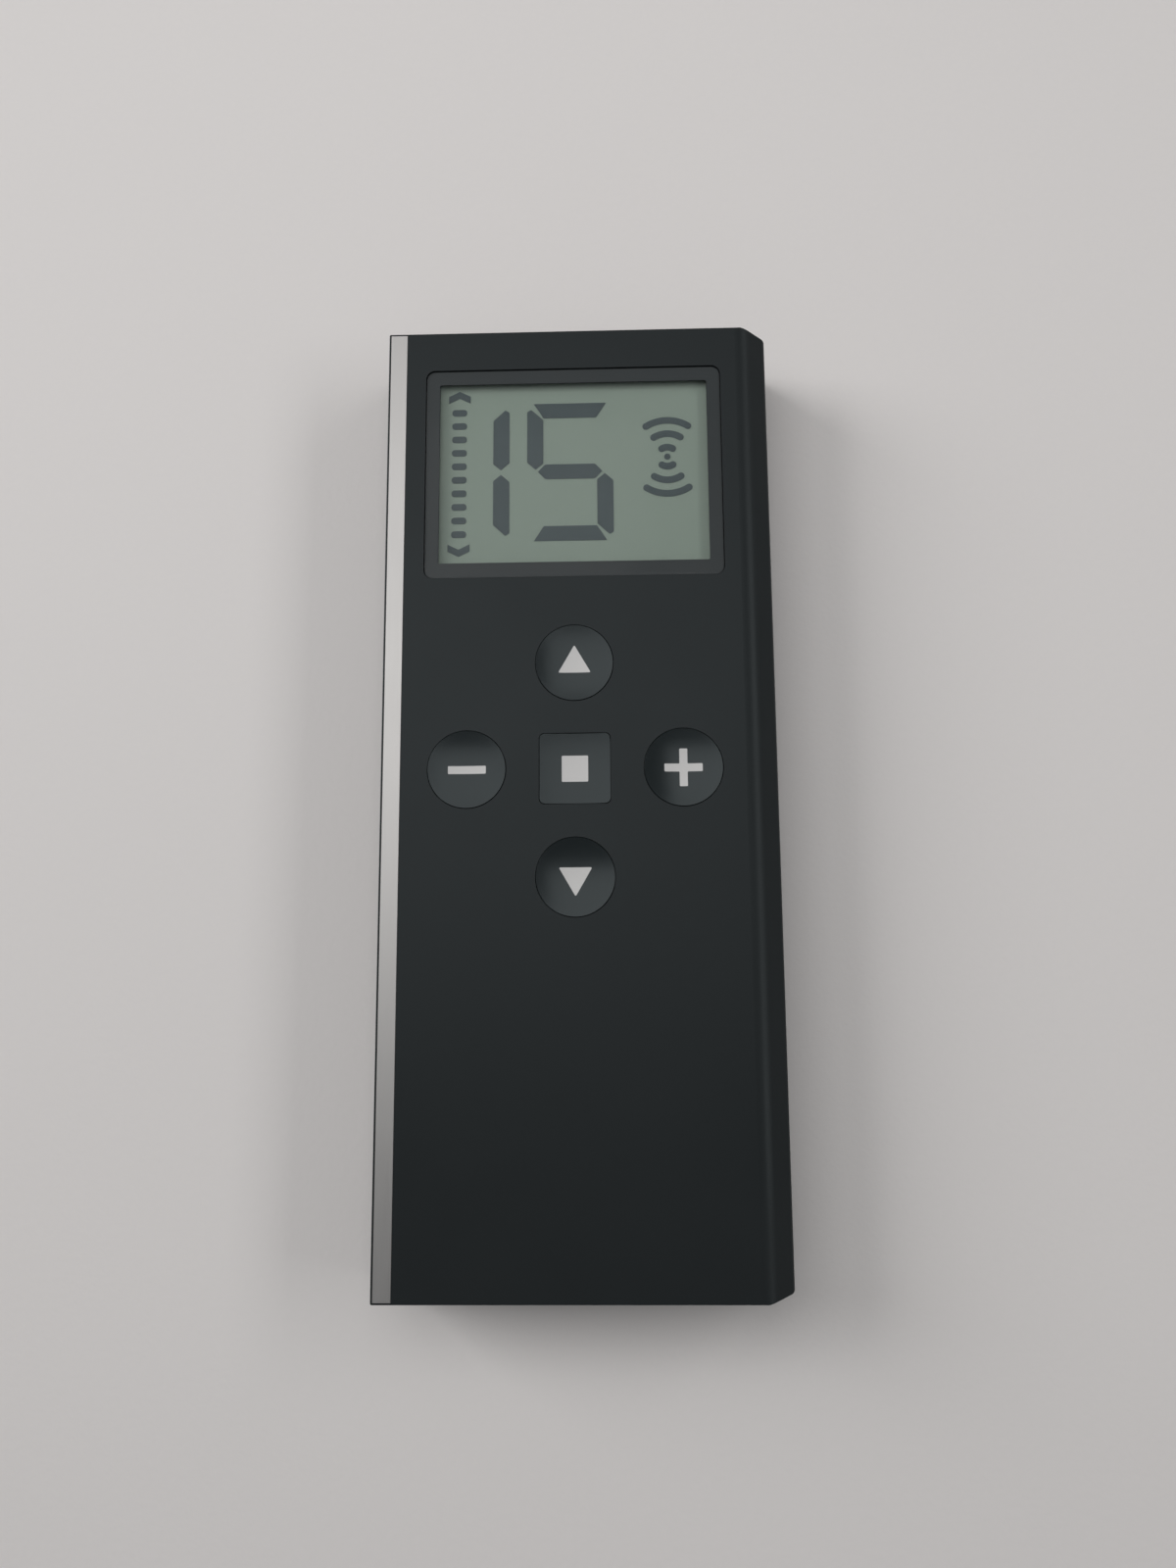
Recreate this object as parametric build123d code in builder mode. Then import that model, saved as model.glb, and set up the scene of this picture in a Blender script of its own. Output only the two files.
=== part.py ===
"""Handheld radio remote control with a liquid crystal display and five keys.

The remote lies on its back. X runs across it, Y runs along it towards the display end, and Z
points up out of the face. The origin is the middle of the footprint, on the resting plane.
The case is a front shell and a rear cover closed by four screws. A bare aluminium trim strip is
bonded in a channel along the left edge of the face. The display is a glass cell in a frame on the
circuit board, behind a bonded window. Five hard key caps rest on a silicone mat whose domes
collapse onto the board. A coin cell lies under the board, behind a door that slides off the
bottom end.
"""

import os
from build123d import *

os.makedirs("parts", exist_ok=True)

# Case
length = 123.6
width = 50.4
thickness = 13.0
wall = 1.6
parting = 5.6  # height of the joint between rear cover and front shell
clip_x = 3.3  # the two right-hand corners are cut off by this much across
clip_y = 0.9  # and by this much along
clip_round = 0.6
clip_blend = 4.0  # the much softer corner where each cut leaves the end of the case
crest_x = 22.1  # where the face turns down into the right-hand shoulder
crest_round = 3.5
shoulder_drop = 2.2
shoulder_round = 0.7
rear_round = 1.4
rim_round = 0.12
end_round = 0.2
lip_height = 1.2  # the rear cover's lip, which stands inside the front shell
lip_thick = 0.75
lip_play = 0.05
shadow_groove = 0.2
half_length = length / 2
left = -width / 2
right = width / 2
inside_top = thickness - wall

# Keys
key_x = -0.6  # the key column and the display share this centre line
stop_y = 2.3
key_pitch = 13.7
key_radius = 4.96
key_gap = 0.08
stop_side = 8.94
stop_corner = 0.6
key_proud = 0.08
key_edge = 0.04
dish_depth = 0.55
round_dish_reach = 4.92
stop_dish_reach = 6.0
flange_thick = 0.8
flange_lap = 0.9
flange_play = 0.1
legend_deep = 0.8
key_top = thickness + key_proud
flange_top = inside_top - flange_play
key_bottom = flange_top - flange_thick

# Key symbols
triangle_side = 4.2
bar_length = 4.82
bar_width = 1.02
square_side = 3.34
icon_corner = 0.12

# Display
window_y = 41.95
window_size = (39.0, 28.8)
window_corner = 1.15
window_gap = 0.06
window_thick = 0.6
window_sunk = 0.05
tape_thick = 0.05
view_size = (35.45, 25.0)
view_y = 42.1
view_corner = 0.25
opening_size = (37.3, 27.7)
glass_size = (36.9, 27.3)
glass_thick = 0.5
crystal_gap = 0.06
lower_glass_size = (36.9, 26.1)
reflector_thick = 0.15
gasket_thick = 0.1
gasket_size = (40.0, 31.0)
glass_play = 0.1
frame_size = (41.0, 32.8)
frame_wall = 1.4
contact_strip = (36.0, 0.5)

# Display figures
figures_y = 42.4
digit_width = 11.4
digit_height = 19.2
digit_pitch = 13.77
stroke = 2.14
units_x = -1.05
scale_x = -15.79
scale_bars = 10
scale_pitch = 1.893
bar_size = (1.99, 0.92)
bar_round = 0.42
chevron_half = 1.46
chevron_drop = 0.72
chevron_thick = 0.98
chevron_clear = 3.05  # from the outermost bar's centre to the arrowhead's tip
signal_place = (11.84, 44.21)
signal_dot = 0.43
signal_radii = (1.34, 3.24, 5.12)
signal_stroke = 0.92
signal_half_angle = 33

# Trim strip
trim_width = 2.2
trim_thick = 1.0
trim_rim = 0.25  # case material left outside the strip, at its side and its ends
trim_gap = 0.03

# Circuit board and fasteners
board_size = (44.0, 116.0)
board_corner = 2.0
board_bottom = 7.5
board_thick = 1.0
board_top = board_bottom + board_thick
case_screw_places = [(-19.6, 22.9), (19.6, 22.9), (-19.6, -52.0), (19.6, -52.0)]
board_screw_places = [(-12.0, 23.1), (11.0, 23.1), (0.0, -52.0)]
boss_radius = 2.4
board_boss_radius = 1.9
post_base_radius = 3.1
post_base_top = 3.2
screw_radius = 1.0
screw_play = 0.02
screw_head_radius = 1.9
screw_head_thick = 1.3
head_well_radius = 2.1
head_well_top = 1.9
screw_top = 11.0
slot_width = 0.55
slot_length = 2.2
slot_deep = 0.6

# Keypad mat and board contacts
mat_size = (41.0, 38.6)
mat_corner = 2.0
mat_thick = 0.5
dome_foot = 4.2
dome_crown = 3.0
dome_skin = 0.8
crown_thick = 0.6
pill_radius = 1.8
pill_thick = 0.45
pad_radius = 2.1
pad_thick = 0.05
pad_split = 0.4

# Coin cell and its contacts
cell_radius = 12.25
cell_y = -30.0
cell_bottom = 1.55
cell_height = 5.0
cell_cap_radius = 10.4
cell_cap_thick = 0.6
cell_seal = 0.5
cell_top = cell_bottom + cell_height
contact_thick = 0.25
contact_width = 5.0
leaf_foot = (-9.0, -4.0)
leaf_tip = 4.0

# Battery door, a plate with a tongue along each side
door_half = 15.0
tongue = 1.0
tongue_low = 0.85
door_end = -14.6
door_low = 0.15
door_high = 1.4
door_play = 0.2
deck_thick = 1.0
deck_margin = 1.2
holder_play = 0.3
holder_thick = 1.0
holder_top = 6.2
grip_y = -52.5
grip_ribs = 6
grip_pitch = 1.6
grip_groove = (16.0, 0.8)
grip_deep = 0.4

# Pairing switch, reached through a hole in the deck under the door
pair_place = (9.5, -52.0)
pair_side = 6.0
pair_low = 4.1
plunger_radius = 1.6
plunger_low = 3.0
plunger_top = 4.9
plunger_bore_top = 5.3
plunger_play = 0.05
pair_hole_radius = 2.1

# Parts on the underside of the board
controller_place = (-9.0, 41.0)
controller_side = 9.0
controller_thick = 1.2
lead_length = 1.0
lead_width = 0.3
lead_thick = 0.2
lead_pitch = 0.8
leads_per_side = 9
radio_place = (10.0, 41.0)
radio_side = 4.0
radio_thick = 0.9
shield_size = (14.0, 12.0)
shield_height = 2.4
shield_skin = 0.2
crystal_place = (-9.0, 30.0)
crystal_size = (8.0, 3.6)
crystal_thick = 3.0
antenna_y = 55.0
antenna_half = 17.0
antenna_low = 5.0
antenna_bend = 1.2
wire_radius = 0.4
chip_size = (1.6, 0.8)
chip_thick = 0.6
chip_rows = 4
chip_columns = 3
chip_pitch = 3.2
chip_field = (5.0, 4.0)

# Rating label in a shallow recess on the back
label_size = (27.0, 33.0)
label_y = 16.0
label_corner = 1.5
label_sunk = 0.05
label_thick = 0.1
label_gap = 0.2


def save(piece, name):
    """Labels a finished piece and writes it."""
    piece.part.label = name
    export_step(piece.part, f"parts/{name}.step")


def rectangle_plan(size, place=(0, 0), corner=0.0):
    """A rectangle, with round corners if corner is given."""
    with BuildSketch() as plan:
        with Locations(place):
            if corner:
                RectangleRounded(*size, corner)
            else:
                Rectangle(*size)
    return plan.sketch


def circle_plan(radius, *places):
    """One circle at each place."""
    with BuildSketch() as plan:
        with Locations(*places):
            Circle(radius)
    return plan.sketch


def slab(plan, low, high, mode=Mode.ADD):
    """Extrudes a plan between two heights in the current part."""
    with BuildSketch(Plane.XY.offset(low)) as base:
        add(plan)
    extrude(base.sketch, amount=high - low, mode=mode)


# ---------------------------------------------------------------- case form
def case_plan(inset=0.0):
    """The outline of the case from above, drawn inwards by inset."""
    with BuildSketch() as plan:
        with BuildLine():
            Polyline(
                (left, -half_length),
                (right - clip_x, -half_length),
                (right, -half_length + clip_y),
                (right, half_length - clip_y),
                (right - clip_x, half_length),
                (left, half_length),
                close=True,
            )
        make_face()
        if inset:
            offset(amount=-inset, kind=Kind.INTERSECTION)
        else:
            fillet(plan.vertices().group_by(Axis.X)[1], clip_blend)
            fillet(plan.vertices().group_by(Axis.X)[-1], clip_round)
            fillet(plan.vertices().group_by(Axis.X)[0], clip_round / 2)
    return plan.sketch


def case_section(inset=0.0):
    """The section across the case. The outermost one has its edges rounded."""
    with BuildSketch() as section:
        with BuildLine():
            Polyline(
                (left, 0),
                (right, 0),
                (right, thickness - shoulder_drop),
                (crest_x, thickness),
                (left, thickness),
                close=True,
            )
        make_face()
        if inset:
            offset(amount=-inset, kind=Kind.INTERSECTION)
        else:
            fillet(section.vertices().group_by(Axis.Y)[0], rear_round)
            fillet(section.vertices().group_by(Axis.Y)[-1].sort_by(Axis.X)[0], rim_round)
            fillet(section.vertices().group_by(Axis.Y)[-1].sort_by(Axis.X)[-1], crest_round)
            shoulder = section.vertices().sort_by_distance((right, thickness - shoulder_drop, 0))[0]
            fillet(shoulder, shoulder_round)
    return section.sketch


def case_profile(inset=0.0):
    """The section along the case. The outermost one has its edges rounded."""
    with BuildSketch() as profile:
        with Locations((0, thickness / 2)):
            Rectangle(length - 2 * inset, thickness - 2 * inset)
        if not inset:
            fillet(profile.vertices().group_by(Axis.Y)[0], rear_round)
            fillet(profile.vertices().group_by(Axis.Y)[-1], end_round)
    return profile.sketch


def case_form(inset=0.0):
    """The closed form of the case, drawn inwards all round by inset."""
    with BuildPart() as form:
        slab(case_plan(inset), 0, thickness)
        with BuildSketch(Plane.XZ):
            add(case_section(inset))
        extrude(amount=length, both=True, mode=Mode.INTERSECT)
        with BuildSketch(Plane.YZ):
            add(case_profile(inset))
        extrude(amount=width, both=True, mode=Mode.INTERSECT)
    return form.part


outer_form = case_form()
inner_form = case_form(wall)
all_over = rectangle_plan((2 * width, 2 * length))

# ---------------------------------------------------------------- keys
# Each key's place, in key pitches from the stop key
key_steps = {"up": (0, 1), "down": (0, -1), "stop": (0, 0), "minus": (-1, 0), "plus": (1, 0)}


def key_place(name):
    """The centre of a key on the face."""
    across, along = key_steps[name]
    return (key_x + across * key_pitch, stop_y + along * key_pitch)


def key_plan(name, grow=0.0):
    """A key's outline from above, larger all round by grow."""
    if name == "stop":
        side = stop_side + 2 * grow
        return rectangle_plan((side, side), key_place(name), stop_corner + grow)
    return circle_plan(key_radius + grow, key_place(name))


def icon_plan(name):
    """The symbol on a key."""
    with BuildSketch() as plan:
        with Locations(key_place(name)):
            if name == "up":
                RegularPolygon(triangle_side / 3**0.5, 3, rotation=90)
            elif name == "down":
                RegularPolygon(triangle_side / 3**0.5, 3, rotation=-90)
            elif name == "stop":
                Rectangle(square_side, square_side)
            else:
                Rectangle(bar_length, bar_width)
                if name == "plus":
                    Rectangle(bar_width, bar_length)
        fillet(plan.vertices(), icon_corner)
    return plan.sketch


dish_floor = key_top - dish_depth


def hollow_top(name):
    """Cuts a key's shallow dish with a large ball."""
    reach = stop_dish_reach if name == "stop" else round_dish_reach
    ball_radius = (reach**2 + dish_depth**2) / (2 * dish_depth)
    with Locations((*key_place(name), dish_floor + ball_radius)):
        Sphere(ball_radius, mode=Mode.SUBTRACT)


for name in key_steps:
    with BuildPart() as key:
        slab(key_plan(name, flange_lap), key_bottom, flange_top)
        slab(key_plan(name), flange_top, key_top)
        chamfer(key.faces().sort_by(Axis.Z)[-1].edges(), key_edge)
        hollow_top(name)
        slab(icon_plan(name), dish_floor - legend_deep, key_top, Mode.SUBTRACT)
    save(key, f"key_{name}")

    with BuildPart() as legend:
        slab(icon_plan(name), dish_floor - legend_deep, key_top)
        hollow_top(name)
    save(legend, f"legend_{name}")

    with BuildPart() as pill:
        pill_top = key_bottom - crown_thick
        slab(circle_plan(pill_radius, key_place(name)), pill_top - pill_thick, pill_top)
    save(pill, f"pill_{name}")

# ---------------------------------------------------------------- keypad mat
with BuildPart() as keypad_mat:
    slab(rectangle_plan(mat_size, (key_x, stop_y), mat_corner), board_top, board_top + mat_thick)
    slab(circle_plan(boss_radius + 0.3, *case_screw_places), board_top, key_bottom, Mode.SUBTRACT)
    slab(circle_plan(board_boss_radius + 0.3, *board_screw_places), board_top, key_bottom, Mode.SUBTRACT)
    for name in key_steps:
        with Locations((*key_place(name), board_top)):
            Cone(
                dome_foot,
                dome_crown,
                key_bottom - board_top,
                align=(Align.CENTER, Align.CENTER, Align.MIN),
            )
            Cone(
                dome_foot - dome_skin,
                dome_crown - dome_skin,
                key_bottom - board_top - crown_thick,
                align=(Align.CENTER, Align.CENTER, Align.MIN),
                mode=Mode.SUBTRACT,
            )
save(keypad_mat, "keypad_mat")

with BuildPart() as contact_pads:
    for name in key_steps:
        slab(circle_plan(pad_radius, key_place(name)), board_top, board_top + pad_thick)
        slot = rectangle_plan((pad_split, 3 * pad_radius), key_place(name))
        slab(slot, board_top, board_top + pad_thick, Mode.SUBTRACT)
save(contact_pads, "contact_pads")

# ---------------------------------------------------------------- front shell
window_top = thickness - window_sunk
window_low = window_top - window_thick
ledge_top = window_low - tape_thick
window_place = (key_x, window_y)
view_place = (key_x, view_y)
trim_x = left + trim_rim + trim_width / 2
trim_size = (trim_width, length - 2 * trim_rim)

with BuildPart() as front_housing:
    add(outer_form)
    slab(all_over, 0, parting, Mode.SUBTRACT)
    add(inner_form, mode=Mode.SUBTRACT)
    slab(case_plan(wall - lip_thick - lip_play), parting, parting + lip_height + 0.1, Mode.SUBTRACT)
    slab(circle_plan(boss_radius, *case_screw_places), board_top, inside_top)
    slab(circle_plan(board_boss_radius, *board_screw_places), board_top, inside_top)
    pilot_places = case_screw_places + board_screw_places
    slab(circle_plan(screw_radius + screw_play, *pilot_places), board_top, screw_top, Mode.SUBTRACT)
    for name in key_steps:
        slab(key_plan(name, key_gap), board_top, thickness, Mode.SUBTRACT)
    pocket = (window_size[0] + 2 * window_gap, window_size[1] + 2 * window_gap)
    slab(
        rectangle_plan(pocket, window_place, window_corner + window_gap),
        ledge_top,
        thickness,
        Mode.SUBTRACT,
    )
    slab(rectangle_plan(opening_size, view_place), board_top, thickness, Mode.SUBTRACT)
    channel = (trim_size[0] + 2 * trim_gap, trim_size[1] + 2 * trim_gap)
    slab(
        rectangle_plan(channel, (trim_x, 0)),
        thickness - trim_thick - tape_thick,
        thickness,
        Mode.SUBTRACT,
    )
save(front_housing, "front_housing")

with BuildPart() as trim_strip:
    slab(rectangle_plan(trim_size, (trim_x, 0)), thickness - trim_thick, thickness)
    chamfer(trim_strip.faces().sort_by(Axis.Z)[-1].edges(), trim_gap)
save(trim_strip, "trim_strip")

with BuildPart() as trim_tape:
    tape_top = thickness - trim_thick
    slab(rectangle_plan(trim_size, (trim_x, 0)), tape_top - tape_thick, tape_top)
save(trim_tape, "trim_tape")

# ---------------------------------------------------------------- display window
with BuildPart() as display_window:
    slab(rectangle_plan(window_size, window_place, window_corner), window_low, window_top)
    chamfer(display_window.faces().sort_by(Axis.Z)[-1].edges(), window_gap)
save(display_window, "display_window")

with BuildPart() as window_tape:
    slab(rectangle_plan(window_size, window_place, window_corner), ledge_top, window_low)
    slab(rectangle_plan(view_size, view_place, view_corner), ledge_top, window_low, Mode.SUBTRACT)
save(window_tape, "window_tape")

# ---------------------------------------------------------------- display cell
glass_top = ledge_top
upper_low = glass_top - glass_thick
lower_top = upper_low - crystal_gap
lower_low = lower_top - glass_thick
reflector_low = lower_low - reflector_thick
frame_top = inside_top - gasket_thick

with BuildPart() as display_gasket:
    slab(rectangle_plan(gasket_size, view_place), frame_top, inside_top)
    slab(rectangle_plan(opening_size, view_place), frame_top, inside_top, Mode.SUBTRACT)
save(display_gasket, "display_gasket")

with BuildPart() as lcd_upper_glass:
    slab(rectangle_plan(glass_size, view_place), upper_low, glass_top)
save(lcd_upper_glass, "lcd_upper_glass")

with BuildPart() as lcd_lower_glass:
    slab(rectangle_plan(lower_glass_size, view_place), lower_low, lower_top)
save(lcd_lower_glass, "lcd_lower_glass")

with BuildPart() as lcd_reflector:
    slab(rectangle_plan(lower_glass_size, view_place), reflector_low, lower_low)
save(lcd_reflector, "lcd_reflector")


def side_segment(x, y, face_x, face_y):
    """One upright stroke of a digit: its outer edge is at x, its outer end at y.

    face_x and face_y are 1 or -1 and say which way the digit's middle lies.
    """
    half = digit_height / 2
    corners = [
        (0, 0.55 * stroke),
        (0.25 * stroke, 0.38 * stroke),
        (stroke, 1.08 * stroke),
        (stroke, half - 0.55 * stroke),
        (0.52 * stroke, half - 0.15 * stroke),
        (0, half - 0.62 * stroke),
    ]
    Polyline(*[(x + face_x * across, y + face_y * along) for across, along in corners], close=True)


def end_segment(x, y, face_y):
    """The top or bottom stroke of a digit, centred on x, its outer edge at y."""
    outer = digit_width / 2 - 0.41 * stroke
    inner = digit_width / 2 - 1.03 * stroke
    depth = face_y * 0.96 * stroke
    Polyline(
        (x - outer, y),
        (x + outer, y),
        (x + inner, y + depth),
        (x - inner, y + depth),
        close=True,
    )


def middle_segment(x, y):
    """The middle stroke of a digit."""
    tip = digit_width / 2 - 0.67 * stroke
    flat = digit_width / 2 - 1.12 * stroke
    half = 0.48 * stroke
    Polyline(
        (x - tip, y),
        (x - flat, y + half),
        (x + flat, y + half),
        (x + tip, y),
        (x + flat, y - half),
        (x - flat, y - half),
        close=True,
    )


def chevron(x, y, point):
    """A small arrowhead with its tip at x, y. point is 1 for up and -1 for down."""
    drop = -point * chevron_drop
    deep = -point * chevron_thick
    Polyline(
        (x - chevron_half, y + drop),
        (x, y),
        (x + chevron_half, y + drop),
        (x + chevron_half, y + drop + deep),
        (x, y + deep),
        (x - chevron_half, y + drop + deep),
        close=True,
    )


digit_top = figures_y + digit_height / 2
digit_low = figures_y - digit_height / 2
digit_left = units_x - digit_width / 2
digit_right = units_x + digit_width / 2
tens_right = digit_right - digit_pitch
scale_half = (scale_bars - 1) / 2 * scale_pitch

# each stroke's drawing function and its arguments: a five, a one, and the scale's two arrowheads
strokes = [
    (side_segment, digit_left, digit_top, 1, -1),
    (side_segment, digit_right, digit_low, -1, 1),
    (end_segment, units_x, digit_top, -1),
    (end_segment, units_x, digit_low, 1),
    (middle_segment, units_x, figures_y),
    (side_segment, tens_right, digit_top, -1, -1),
    (side_segment, tens_right, digit_low, -1, 1),
    (chevron, scale_x, figures_y + scale_half + chevron_clear, 1),
    (chevron, scale_x, figures_y - scale_half - chevron_clear, -1),
]

with BuildPart() as lcd_segments:
    with BuildSketch(Plane.XY.offset(lower_top)):
        for draw, *place in strokes:
            with BuildLine():
                draw(*place)
            make_face()
        with Locations((scale_x, figures_y)):
            with GridLocations(0, scale_pitch, 1, scale_bars):
                RectangleRounded(*bar_size, bar_round)
        with Locations(signal_place):
            Circle(signal_dot)
        for radius in signal_radii:
            for facing in (90, -90):
                start = facing - signal_half_angle
                arc = CenterArc(signal_place, radius, start, 2 * signal_half_angle, mode=Mode.PRIVATE)
                SlotArc(arc, signal_stroke)
    extrude(amount=crystal_gap)
save(lcd_segments, "lcd_segments")

# ---------------------------------------------------------------- display frame
strip_y = (lower_glass_size[1] + contact_strip[1]) / 2 + glass_play
strip_places = [(key_x, view_y - strip_y), (key_x, view_y + strip_y)]
glass_pocket = [side + 2 * glass_play for side in glass_size]
strip_pocket = [side + 2 * glass_play for side in contact_strip]
frame_hollow = [side - 2 * frame_wall for side in lower_glass_size]

with BuildPart() as lcd_frame:
    slab(rectangle_plan(frame_size, view_place, 1.0), board_top, frame_top)
    slab(rectangle_plan(glass_pocket, view_place), reflector_low, frame_top, Mode.SUBTRACT)
    slab(rectangle_plan(frame_hollow, view_place), board_top, reflector_low, Mode.SUBTRACT)
    for place in strip_places:
        slab(rectangle_plan(strip_pocket, place), board_top, frame_top, Mode.SUBTRACT)
save(lcd_frame, "lcd_frame")

with BuildPart() as lcd_connectors:
    for place in strip_places:
        slab(rectangle_plan(contact_strip, place), board_top, upper_low)
save(lcd_connectors, "lcd_connectors")

# ---------------------------------------------------------------- circuit board
with BuildPart() as circuit_board:
    slab(rectangle_plan(board_size, (0, 0), board_corner), board_bottom, board_top)
    slab(circle_plan(1.3 * screw_radius, *pilot_places), board_bottom, board_top, Mode.SUBTRACT)
save(circuit_board, "circuit_board")

with BuildPart() as microcontroller:
    body_top = board_bottom - lead_thick
    side = (controller_side, controller_side)
    slab(rectangle_plan(side, controller_place), body_top - controller_thick, body_top)
    chamfer(microcontroller.edges().group_by(Axis.Z)[0], lead_thick)
save(microcontroller, "microcontroller")

with BuildPart() as controller_leads:
    lead_reach = (controller_side + lead_length) / 2
    lead_places = []
    for step in range(leads_per_side):
        along = (step - (leads_per_side - 1) / 2) * lead_pitch
        lead_places += [(along, lead_reach, 90), (along, -lead_reach, 90)]
        lead_places += [(lead_reach, along, 0), (-lead_reach, along, 0)]
    with BuildSketch(Plane.XY.offset(board_bottom - 2 * lead_thick)):
        for x, y, turn in lead_places:
            with Locations((controller_place[0] + x, controller_place[1] + y)):
                Rectangle(lead_length, lead_width, rotation=turn)
    extrude(amount=2 * lead_thick)
save(controller_leads, "controller_leads")

with BuildPart() as radio_chip:
    side = (radio_side, radio_side)
    slab(rectangle_plan(side, radio_place), board_bottom - radio_thick, board_bottom)
save(radio_chip, "radio_chip")

with BuildPart() as radio_shield:
    inside = [size - 2 * shield_skin for size in shield_size]
    shield_low = board_bottom - shield_height
    slab(rectangle_plan(shield_size, radio_place, 0.5), shield_low, board_bottom)
    slab(rectangle_plan(inside, radio_place), shield_low + shield_skin, board_bottom, Mode.SUBTRACT)
save(radio_shield, "radio_shield")

with BuildPart() as clock_crystal:
    corner = crystal_size[1] / 2 - 0.1
    slab(
        rectangle_plan(crystal_size, crystal_place, corner),
        board_bottom - crystal_thick,
        board_bottom,
    )
    fillet(clock_crystal.edges().group_by(Axis.Z)[0], 0.3)
save(clock_crystal, "clock_crystal")

with BuildPart() as chip_parts:
    with BuildSketch(Plane.XY.offset(board_bottom - chip_thick)):
        with Locations(chip_field):
            with GridLocations(chip_pitch, chip_pitch, chip_columns, chip_rows):
                Rectangle(*chip_size)
    extrude(amount=chip_thick)
save(chip_parts, "chip_parts")

with BuildPart() as antenna_wire:
    with BuildLine(Plane.XZ.offset(-antenna_y)):
        FilletPolyline(
            (-antenna_half, board_bottom),
            (-antenna_half, antenna_low),
            (antenna_half, antenna_low),
            (antenna_half, board_bottom),
            radius=antenna_bend,
        )
    with BuildSketch(Plane.XY.offset(board_bottom)):
        with Locations((-antenna_half, antenna_y)):
            Circle(wire_radius)
    sweep()
save(antenna_wire, "antenna_wire")

# ---------------------------------------------------------------- coin cell
cell_place = (0, cell_y)

with BuildPart() as cell_can:
    slab(circle_plan(cell_radius, cell_place), cell_bottom, cell_top - cell_cap_thick / 2)
    fillet(cell_can.edges().group_by(Axis.Z)[0], 0.5)
    seat = cell_top - cell_cap_thick
    slab(circle_plan(cell_cap_radius + cell_seal, cell_place), seat, cell_top, Mode.SUBTRACT)
save(cell_can, "cell_can")

with BuildPart() as cell_cap:
    slab(circle_plan(cell_cap_radius, cell_place), seat, cell_top)
    fillet(cell_cap.edges().group_by(Axis.Z)[-1], 0.3)
save(cell_cap, "cell_cap")

with BuildPart() as cell_gasket:
    gasket_top = cell_top - 0.1
    slab(circle_plan(cell_cap_radius + cell_seal, cell_place), seat, gasket_top)
    slab(circle_plan(cell_cap_radius, cell_place), seat, gasket_top, Mode.SUBTRACT)
save(cell_gasket, "cell_gasket")

with BuildPart() as negative_contact:
    with BuildSketch(Plane.XZ.offset(-cell_y)):
        with BuildLine():
            Polyline(
                (leaf_foot[0], board_bottom),
                (leaf_foot[1], board_bottom),
                (leaf_tip, cell_top + contact_thick),
                (leaf_tip, cell_top),
                (leaf_foot[1], board_bottom - contact_thick),
                (leaf_foot[0], board_bottom - contact_thick),
                close=True,
            )
        make_face()
    extrude(amount=contact_width / 2, both=True)
save(negative_contact, "negative_contact")

with BuildPart() as positive_contact:
    leg_low = cell_bottom + cell_height / 3
    foot_end = cell_radius + holder_play + holder_thick + 3
    with BuildSketch(Plane.XZ.offset(-cell_y)):
        with BuildLine():
            Polyline(
                (cell_radius, leg_low),
                (cell_radius + contact_thick, leg_low),
                (cell_radius + contact_thick, board_bottom - contact_thick),
                (foot_end, board_bottom - contact_thick),
                (foot_end, board_bottom),
                (cell_radius, board_bottom),
                close=True,
            )
        make_face()
    extrude(amount=contact_width / 2, both=True)
save(positive_contact, "positive_contact")

# ---------------------------------------------------------------- pairing switch
with BuildPart() as pair_switch:
    slab(rectangle_plan((pair_side, pair_side), pair_place, 0.5), pair_low, board_bottom)
    bore = circle_plan(plunger_radius + plunger_play, pair_place)
    slab(bore, pair_low, plunger_bore_top, Mode.SUBTRACT)
save(pair_switch, "pair_switch")

with BuildPart() as pair_plunger:
    slab(circle_plan(plunger_radius, pair_place), plunger_low, plunger_top)
    fillet(pair_plunger.edges().group_by(Axis.Z)[0], 0.3)
save(pair_plunger, "pair_plunger")

# ---------------------------------------------------------------- rear cover
deck_low = wall
deck_top = deck_low + deck_thick
bay_end = door_end + door_play
bay_length = bay_end + half_length
bay_y = (bay_end - half_length) / 2
groove_half = door_half + tongue + door_play
groove_low = tongue_low - door_play / 2


def bay_plan(half_width):
    """The door's bay from above, open at the bottom end of the case."""
    size = (2 * half_width, bay_length + wall)
    return rectangle_plan(size, (0, bay_y - wall / 2))


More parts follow.
